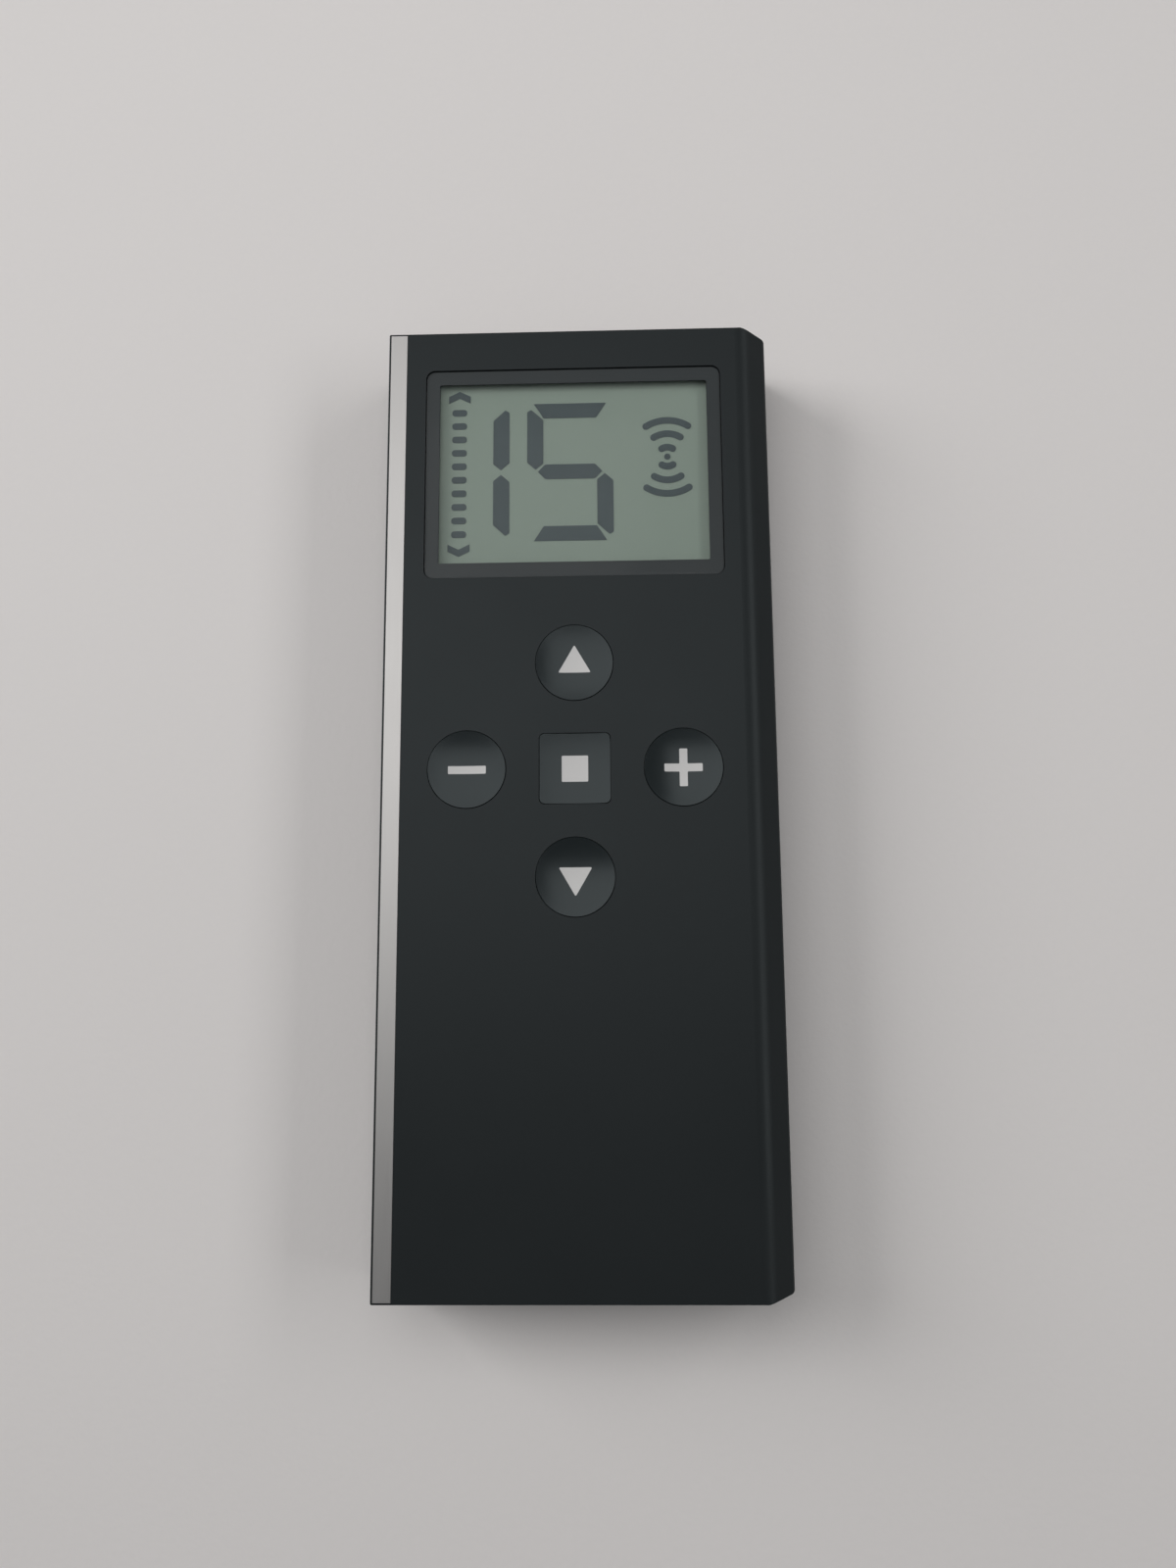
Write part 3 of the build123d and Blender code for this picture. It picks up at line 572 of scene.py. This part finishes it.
key_places = {key_name: middle(f"pill_{key_name}") for key_name in key_names}
web = plate(
    "mat_web", mat_size, middle("keypad_mat"), board_top, board_top + mat_thick, mat_corner
)
holes = [(boss, case_boss_hole) for boss in upper_case_bosses]
holes += [(boss, board_boss_hole) for boss in upper_board_bosses]
holes += [(key_place, dome_foot - 0.2) for key_place in key_places.values()]
for hole_place, radius in holes:
    hole = turned("hole", hole_place, ((radius, board_top - 1), (radius, board_top + 2)), 64)
    join_shape(web, hole, "DIFFERENCE")
soften(web, 0.12)
settle(web, silicone, slot="silicone", replaces=["keypad_mat"])

inner_top = key_bottom - crown_thick
dome_wall = (
    (dome_foot, board_top),
    (dome_foot - 0.05, board_top + 0.35),
    (dome_foot - 0.45, board_top + 0.75),
    (dome_crown + 0.35, key_bottom - 0.45),
    (dome_crown + 0.12, key_bottom - 0.12),
    (dome_crown - 0.1, key_bottom),
    (dome_centre, key_bottom),
    (dome_centre, inner_top),
    (dome_crown - dome_skin, inner_top),
    (dome_crown - dome_skin + 0.25, inner_top - 0.15),
    (dome_foot - dome_skin - 0.1, board_top + 0.4),
    (dome_foot - dome_skin, board_top),
)
for key_name, key_place in key_places.items():
    dome = turned(f"dome_{key_name}", key_place, dome_wall, tube=True)
    settle(dome, silicone, slot="silicone")
    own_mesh(dome)

carbon = grained(
    "carbon_rubber", (0.020, 0.020, 0.020, 1), (0.013, 0.013, 0.013, 1),
    rough=(0.6, 0.8), grain=(0.1, 0.1, 0.1), relief=0.006, smudge=2,
)
paint(carbon, *[f"pill_{key_name}" for key_name in key_names])
carbon_ink = grained(
    "pad_ink", (0.05, 0.05, 0.052, 1), (0.035, 0.035, 0.037, 1),
    rough=(0.45, 0.6), grain=(0.15, 0.15, 0.15), relief=0.004, smudge=2,
)
paint(carbon_ink, "contact_pads")

# ------------------------------------------------------------------ display cell
# A black moulded frame holds two glass plates over a grey-green reflecting film. The dark figures
# lie between the plates. Striped conductive rubber joins the glass's edge to the board.
film_light, film_dark = (0.405, 0.50, 0.42, 1), (0.388, 0.482, 0.404, 1)
figure_light, figure_dark = (0.076, 0.108, 0.118, 1), (0.071, 0.102, 0.112, 1)
stripe_pitch = 0.36
figure_clear = 0.01  # the upper plate sits this far above the figures
frame_black = grained(
    "display_frame", (0.024, 0.025, 0.026, 1), (0.018, 0.019, 0.020, 1),
    rough=(0.5, 0.65), grain=(0.2, 0.2, 0.2), relief=0.005, smudge=6,
)
film = grained("display_back", film_light, film_dark, (0.5, 0.62), (0.12, 0.12, 0.12), 0.002, 14)
figures = grained(
    "display_figures", figure_light, figure_dark,
    rough=(0.45, 0.55), grain=(0.12, 0.12, 0.12), relief=0.001, smudge=6,
)
foam = grained(
    "gasket_foam", (0.030, 0.030, 0.031, 1), (0.018, 0.018, 0.019, 1),
    rough=(0.8, 0.95), grain=(0.15, 0.15, 0.15), relief=0.02, smudge=3,
)
paint(frame_black, "lcd_frame")
paint(film, "lcd_lower_glass", "lcd_reflector")
paint(figures, "lcd_segments")
paint(foam, "display_gasket")


def clear_plate(name, tint, tint_dark, alpha, rough):
    """A clear plate or film: slightly tinted, with a faint unevenness in its gloss."""
    material = grained(name, tint, tint_dark, rough, (4.0, 4.0, 4.0), 0.001, 20)
    material.node_tree.nodes["Principled BSDF"].inputs["Alpha"].default_value = alpha
    return material


cell_glass = clear_plate(
    "cell_glass", (0.22, 0.26, 0.24, 1), (0.20, 0.24, 0.22, 1),
    alpha=0.05, rough=(0.1, 0.18),
)

glass_low, glass_high = (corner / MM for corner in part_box("lcd_upper_glass"))
upper_glass = plate(
    "upper_glass",
    (glass_high.x - glass_low.x, glass_high.y - glass_low.y),
    ((glass_low.x + glass_high.x) / 2, (glass_low.y + glass_high.y) / 2),
    glass_low.z + figure_clear,
    glass_high.z,
)
soften(upper_glass, 0.05)
settle(upper_glass, cell_glass, slot="display_glass", replaces=["lcd_upper_glass"])

striped = grained(
    "striped_rubber", (0.35, 0.33, 0.30, 1), (0.30, 0.28, 0.26, 1),
    rough=(0.5, 0.6), grain=(0.1, 0.1, 0.1), relief=0.003, smudge=3,
)
nodes = striped.node_tree.nodes
links = striped.node_tree.links
place = nodes.new("ShaderNodeTexCoord")
along = nodes.new("ShaderNodeSeparateXYZ")
count = nodes.new("ShaderNodeMath")
count.operation = "MULTIPLY"
count.inputs[1].default_value = 1 / (stripe_pitch * MM)
cycle = nodes.new("ShaderNodeMath")
cycle.operation = "FRACT"
black = nodes.new("ShaderNodeMath")
black.operation = "GREATER_THAN"
black.inputs[1].default_value = 0.5
stripes = nodes.new("ShaderNodeMix")
stripes.data_type = "RGBA"
stripes.inputs[7].default_value = (0.015, 0.015, 0.015, 1)
links.new(place.outputs["Object"], along.inputs[0])
links.new(along.outputs["X"], count.inputs[0])
links.new(count.outputs[0], cycle.inputs[0])
links.new(cycle.outputs[0], black.inputs[0])
links.new(black.outputs[0], stripes.inputs[0])
links.new(nodes["Mix"].outputs[2], stripes.inputs[6])
links.new(stripes.outputs[2], nodes["Principled BSDF"].inputs["Base Color"])
paint(striped, "lcd_connectors")

# ------------------------------------------------------------------ pairing switch
# A sealed tact switch on the board's underside. Its round acetal plunger stands in the hole of the
# battery bay's floor, where the tip of a pen reaches it once the door is off.
acetal = grained(
    "plunger_plastic", (0.62, 0.10, 0.055, 1), (0.52, 0.08, 0.045, 1),
    rough=(0.35, 0.45), grain=(0.15, 0.15, 0.15), relief=0.003, smudge=3,
)
paint(acetal, "pair_plunger")

# ------------------------------------------------------------------ case
# Two mouldings in black ABS, a front shell and a rear cover, and a sliding battery door. Their
# outer faces have a fine even spark-eroded texture, slightly green-blue in its sheen.
case_light, case_dark = (0.0148, 0.0170, 0.0180, 1), (0.0125, 0.0146, 0.0156, 1)
case_sheen = (0.88, 0.98, 1.0, 1)
case_plastic = grained(
    "case_plastic", case_light, case_dark,
    rough=(0.38, 0.45), grain=(0.16, 0.16, 0.16), relief=0.006, smudge=14, specular=0.24,
    sheen=case_sheen,
)
rear_plastic = grained(
    "rear_plastic", case_light, case_dark,
    rough=(0.50, 0.60), grain=(0.28, 0.28, 0.28), relief=0.012, smudge=14, specular=0.30,
    sheen=case_sheen,
)
paint(case_plastic, "front_housing")
paint(rear_plastic, "rear_cover", "battery_door")

# ------------------------------------------------------------------ arrow on the battery door
# A low moulded arrowhead above the grip ribs, pointing the way the door slides off. It is part of
# the door's own moulding, so it is the same plastic with a slightly polished top.
arrow_x, arrow_y = 0.0, -42.0
arrow_half, arrow_long, arrow_proud = 3.6, 3.0, 0.1
door_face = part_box("battery_door")[0].z / MM
arrow_plastic = grained(
    "arrow_plastic", case_light, case_dark,
    rough=(0.30, 0.38), grain=(0.3, 0.3, 0.3), relief=0.002, smudge=8, specular=0.4,
)
bpy.ops.object.select_all(action="DESELECT")
bpy.ops.mesh.primitive_circle_add(
    vertices=3, radius=MM, fill_type="NGON", location=(0, 0, 0), rotation=(0, 0, math.pi)
)
arrow = bpy.context.object
arrow.name = "door_arrow"
arrow.scale = (arrow_half / math.sin(math.radians(60)), arrow_long / 1.5, 1)
arrow.location = (arrow_x * MM, arrow_y * MM, (door_face - arrow_proud) * MM)
bpy.ops.object.transform_apply(location=True, rotation=True, scale=True)
bpy.ops.object.mode_set(mode="EDIT")
bpy.ops.mesh.select_all(action="SELECT")
bpy.ops.mesh.extrude_region_move(TRANSFORM_OT_translate={"value": (0, 0, 2 * arrow_proud * MM)})
bpy.ops.mesh.select_all(action="SELECT")
bpy.ops.mesh.normals_make_consistent(inside=False)
bpy.ops.object.mode_set(mode="OBJECT")
soften(arrow, 0.06, 3)
settle(arrow, arrow_plastic, body="door", slot="case_plastic")

# ------------------------------------------------------------------ screws
# Seven thread-forming steel screws, black-oxide finished. Each pan head has a tapered cross recess,
# and a real helical thread runs down the shank to a short blunt lead.
shank_radius, thread_crest, thread_pitch = 0.78, 1.0, 0.7
thread_root_deep, thread_foot, thread_tip = 0.05, 0.52, 0.08
thread_start, thread_end = 0.35, 0.6  # clear of the head, and of the shank's end
head_radius, head_thick, recess_deep = 1.9, 1.3, 0.75
recess_length, recess_width, recess_taper = 2.3, 0.55, 0.6
screw_top = 11.0
case_head_low, board_head_low = 0.6, 6.2
screw_black = grained(
    "screw_steel", (0.16, 0.16, 0.165, 1), (0.11, 0.11, 0.115, 1),
    rough=(0.32, 0.48), grain=(0.12, 0.12, 0.12), relief=0.004, smudge=3, metal=1.0,
)
lower_screw_y = -52.0
case_screws = upper_case_bosses + [(x, lower_screw_y) for x, y in upper_case_bosses]
board_screws = upper_board_bosses + [(0.0, lower_screw_y)]


def screw(name, head_low):
    """A screw on the z axis with its head down, the head's face at head_low."""
    neck = head_low + head_thick
    body = turned(
        name,
        (0, 0),
        (
            (head_radius - 0.45, head_low),
            (head_radius - 0.22, head_low + 0.06),
            (head_radius - 0.06, head_low + 0.24),
            (head_radius, head_low + 0.5),
            (head_radius, neck - 0.05),
            (head_radius - 0.05, neck),
            (shank_radius + 0.1, neck),
            (shank_radius, neck + 0.12),
            (shank_radius, screw_top - 0.5),
            (0.45, screw_top),
        ),
        48,
    )
    for long_x, long_y in ((recess_length, recess_width), (recess_width, recess_length)):
        slot = plate("slot", (long_x, long_y), (0, 0), head_low - 0.1, head_low + recess_deep)
        choose_faces(slot, lambda face: face.normal.z > 0.5)
        bpy.ops.transform.resize(value=(recess_taper, recess_taper, 1), center_override=(0, 0, 0))
        bpy.ops.object.mode_set(mode="OBJECT")
        join_shape(body, slot, "DIFFERENCE")
    bpy.ops.object.select_all(action="DESELECT")
    root = shank_radius - thread_root_deep
    bpy.ops.mesh.primitive_plane_add(
        size=MM,
        location=((root + thread_crest) / 2 * MM, 0, (neck + thread_start) * MM),
        rotation=(math.pi / 2, 0, 0),
    )
    thread = bpy.context.object
    thread.scale = (thread_crest - root, thread_foot, 1)
    bpy.ops.object.transform_apply(location=True, rotation=True, scale=True)
    to_edit(thread)
    for vertex in thread.data.vertices:
        vertex.select = vertex.co.x > (root + thread_crest) / 2 * MM
    bpy.ops.object.mode_set(mode="EDIT")
    bpy.ops.transform.resize(
        value=(1, 1, thread_tip / thread_foot),
        center_override=(thread_crest * MM, 0, (neck + thread_start) * MM),
    )
    bpy.ops.object.mode_set(mode="OBJECT")
    turns = (screw_top - thread_end - neck - thread_start) / thread_pitch
    winding = thread.modifiers.new("winding", "SCREW")
    winding.angle = 2 * math.pi * turns
    winding.screw_offset = turns * thread_pitch * MM
    winding.steps = winding.render_steps = int(24 * turns)
    bpy.ops.object.modifier_apply(modifier=winding.name)
    bpy.ops.object.mode_set(mode="EDIT")
    bpy.ops.mesh.select_all(action="SELECT")
    bpy.ops.mesh.normals_make_consistent(inside=False)
    bpy.ops.object.mode_set(mode="OBJECT")
    bpy.ops.object.select_all(action="DESELECT")
    thread.select_set(True)
    body.select_set(True)
    bpy.context.view_layer.objects.active = body
    bpy.ops.object.transform_apply(location=True, rotation=True, scale=True)
    bpy.ops.object.join()
    bpy.ops.object.shade_smooth_by_angle(angle=math.radians(35))
    return body


for screw_name, head_low, places, node in (
    ("case_screw_set", case_head_low, case_screws, "case_screws"),
    ("board_screw_set", board_head_low, board_screws, "board_screws"),
):
    made = copies(screw(screw_name, head_low), [(x, y, 0) for x, y in places])
    settle(made, screw_black, slot="screw_steel", replaces=[node])

# ------------------------------------------------------------------ rating label
# A satin polyester label in its shallow recess on the back. It is printed with an empty ruled
# frame only, where the maker's details would stand.
label_place = middle("rating_label")
label_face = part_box("rating_label")[0].z / MM
border_size, border_corner = (24.0, 30.0), 1.2
rule, rule_pitch = 0.25, 6.0
print_thick = 0.02
label_film = grained(
    "label_film", (0.40, 0.41, 0.42, 1), (0.36, 0.37, 0.38, 1),
    rough=(0.35, 0.45), grain=(0.2, 3.0, 0.2), relief=0.002, smudge=10, metal=0.6,
)
label_ink = grained(
    "label_ink", (0.020, 0.020, 0.021, 1), (0.014, 0.014, 0.015, 1),
    rough=(0.4, 0.5), grain=(0.2, 0.2, 0.2), relief=0.002, smudge=4,
)
paint(label_film, "rating_label")
print_span = (label_face - print_thick, label_face + print_thick)
border = plate("label_border", border_size, label_place, *print_span, border_corner)
inside_size = [side - 2 * rule for side in border_size]
inside = plate(
    "inside", inside_size, label_place, label_face - 1, label_face + 1, border_corner - rule
)
join_shape(border, inside, "DIFFERENCE")
for row in (-1.5, -0.5, 0.5, 1.5):
    line_place = (label_place[0], label_place[1] + row * rule_pitch)
    line = plate("line", (border_size[0] - 0.2, rule), line_place, *print_span)
    join_shape(border, line, "UNION")
settle(border, label_ink, slot="label_film")

# ------------------------------------------------------------------ trim strip
# A flat strip of extruded aluminium, brushed along its length and clear anodised, bonded in its
# channel along the left edge of the face with double-sided tape.
strip_light, strip_dark = (0.51, 0.495, 0.484, 1), (0.457, 0.445, 0.434, 1)
brushed = grained(
    "satin_aluminium", strip_light, strip_dark,
    rough=(0.40, 0.48), grain=(0.06, 6.0, 0.06), relief=0.002, smudge=25, metal=1.0,
)
tape_black = grained(
    "black_tape", (0.030, 0.034, 0.037, 1), (0.025, 0.030, 0.032, 1),
    rough=(0.6, 0.7), grain=(0.2, 0.2, 0.2), relief=0.003, smudge=8,
)
paint(brushed, "trim_strip")
paint(tape_black, "trim_tape", "window_tape")

# ------------------------------------------------------------------ keys
# Five hard key caps with shallow dishes, moulded in dark grey, a little glossier than the case.
# Their white symbols are a second shot of plastic, flush with the dish.
key_light, key_dark = (0.0100, 0.0132, 0.0142, 1), (0.0085, 0.0115, 0.0125, 1)
white_light, white_dark = (0.61, 0.60, 0.59, 1), (0.57, 0.56, 0.55, 1)
key_plastic = grained(
    "key_plastic", key_light, key_dark,
    rough=(0.21, 0.26), grain=(0.13, 0.13, 0.13), relief=0.003, smudge=8, specular=0.42,
    sheen=case_sheen,
)
legend_plastic = grained(
    "legend_plastic", white_light, white_dark,
    rough=(0.38, 0.48), grain=(0.13, 0.13, 0.13), relief=0.002, smudge=5,
)
paint(key_plastic, *[f"key_{key_name}" for key_name in key_names])
paint(legend_plastic, *[f"legend_{key_name}" for key_name in key_names])

# ------------------------------------------------------------------ display window
# A clear acrylic window with a printed border moulded in just under its face, the way in-mould
# decorated windows are made. The border's colour is partly its dark print and partly painted
# reflection: the print's tone is lifted lighter to stand in for the gloss of the acrylic over it.
# Tape holds it in its pocket.
window_low, window_high = (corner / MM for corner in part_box("display_window"))
window_place = ((window_low.x + window_high.x) / 2, (window_low.y + window_high.y) / 2)
window_size = (window_high.x - window_low.x, window_high.y - window_low.y)
view_size, view_place, view_corner = (35.45, 24.85), (window_place[0], 42.02), 0.25
window_corner, window_edge = 1.15, 0.05
ink_deep, ink_thick = 0.2, 0.03
# The border's colour is dark print, lightened as painted reflection of the acrylic's gloss.
border_print_and_reflection = grained(
    "window_border_print_and_reflection", (0.0178, 0.0243, 0.0262, 1), (0.0162, 0.0222, 0.0240, 1),
    rough=(0.4, 0.5), grain=(0.2, 0.2, 0.2), relief=0.001, smudge=12,
)
window_clear = clear_plate(
    "window_clear", (0.03, 0.035, 0.037, 1), (0.025, 0.03, 0.032, 1),
    alpha=0.10, rough=(0.1, 0.16),
)

acrylic = plate(
    "window_acrylic", window_size, window_place, window_low.z, window_high.z, window_corner
)
soften(acrylic, window_edge)
settle(acrylic, window_clear, slot="clear_window", replaces=["display_window"])
ink_high = window_high.z - ink_deep
ink_size = [side - 2 * window_edge for side in window_size]
ink_span = (ink_high - ink_thick, ink_high)
ink = plate("window_ink", ink_size, window_place, *ink_span, window_corner - window_edge)
opening = plate("opening", view_size, view_place, ink_high - 1, ink_high + 1, view_corner)
join_shape(ink, opening, "DIFFERENCE")
settle(ink, border_print_and_reflection, slot="black_tape", replaces=["display_window"])
